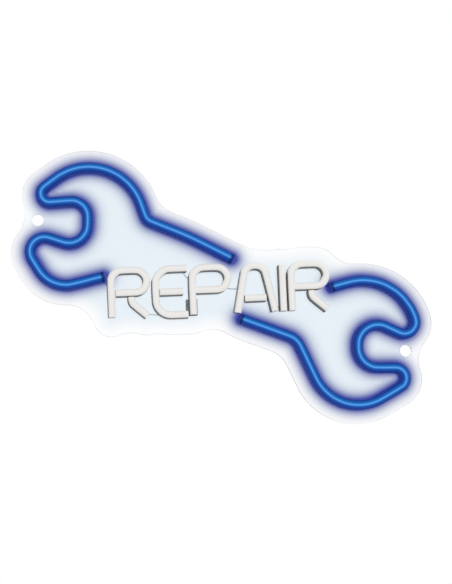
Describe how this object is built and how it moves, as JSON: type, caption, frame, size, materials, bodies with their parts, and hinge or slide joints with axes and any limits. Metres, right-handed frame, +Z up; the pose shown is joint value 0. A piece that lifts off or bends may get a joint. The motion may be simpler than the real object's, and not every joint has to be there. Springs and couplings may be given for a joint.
{
  "type": "lighted wall sign",
  "caption": "Lighted wall sign: an open-ended spanner in blue LED flex around a word in white LED flex, on a clear contour-cut panel with hanging holes.",
  "frame": {"origin": "midway between the two hanging holes, on the panel's rear face", "axes": "+X to the viewer's right, +Z up, the front of the sign faces -Y"},
  "size_m": [0.3401, 0.0292, 0.2199],
  "materials": {
    "clear_acrylic": "polished clear acrylic",
    "blue_silicone": "translucent blue silicone, lit",
    "navy_silicone": "opaque satin silicone",
    "white_silicone": "translucent white silicone, softly lit",
    "grey_silicone": "opaque satin silicone",
    "strip_white": "printed circuit strip with light-emitting chips",
    "lead_insulation": "smooth insulation",
    "socket_black": "moulded black",
    "plated_contact": "nickel-plated contact",
    "pad_foam": "double-sided foam pad"
  },
  "bodies": {
    "root": {"a_arch_base": "grey_silicone", "a_arch_diffuser": "white_silicone", "a_arch_led_strip": "strip_white", "a_bar_base": "grey_silicone", "a_bar_diffuser": "white_silicone", "a_bar_led_strip": "strip_white", "e_arm_base": "grey_silicone", "e_arm_diffuser": "white_silicone", "e_arm_led_strip": "strip_white", "e_spine_base": "grey_silicone", "e_spine_diffuser": "white_silicone", "e_spine_led_strip": "strip_white", "first_r_hoop_base": "grey_silicone", "first_r_hoop_diffuser": "white_silicone", "first_r_hoop_led_strip": "strip_white", "first_r_leg_base": "grey_silicone", "first_r_leg_diffuser": "white_silicone", "first_r_leg_led_strip": "strip_white", "i_stem_base": "grey_silicone", "i_stem_diffuser": "white_silicone", "i_stem_led_strip": "strip_white", "last_r_hoop_base": "grey_silicone", "last_r_hoop_diffuser": "white_silicone", "last_r_hoop_led_strip": "strip_white", "last_r_leg_base": "grey_silicone", "last_r_leg_diffuser": "white_silicone", "last_r_leg_led_strip": "strip_white", "lead_a_arch_to_a_bar": "lead_insulation", "lead_a_arch_to_i_stem": "lead_insulation", "lead_e_spine_to_e_arm": "lead_insulation", "lead_e_spine_to_p_hoop": "lead_insulation", "lead_first_r_hoop_to_first_r_leg": "lead_insulation", "lead_first_r_leg_to_e_spine": "lead_insulation", "lead_i_stem_to_last_r_hoop": "lead_insulation", "lead_last_r_hoop_to_last_r_leg": "lead_insulation", "lead_last_r_hoop_to_right_jaw": "lead_insulation", "lead_left_jaw_to_first_r_hoop": "lead_insulation", "lead_p_hoop_to_a_arch": "lead_insulation", "lead_power_socket_to_p_hoop": "lead_insulation", "left_jaw_base": "navy_silicone", "left_jaw_diffuser": "blue_silicone", "left_jaw_end_cap": "navy_silicone", "left_jaw_led_strip": "strip_white", "left_jaw_start_cap": "navy_silicone", "p_hoop_base": "grey_silicone", "p_hoop_diffuser": "white_silicone", "p_hoop_led_strip": "strip_white", "panel": "clear_acrylic", "power_socket_body": "socket_black", "power_socket_leaf": "plated_contact", "power_socket_pad": "pad_foam", "power_socket_pin": "plated_contact", "right_jaw_base": "navy_silicone", "right_jaw_diffuser": "blue_silicone", "right_jaw_end_cap": "navy_silicone", "right_jaw_led_strip": "strip_white", "right_jaw_start_cap": "navy_silicone"}
  },
  "joints": []
}
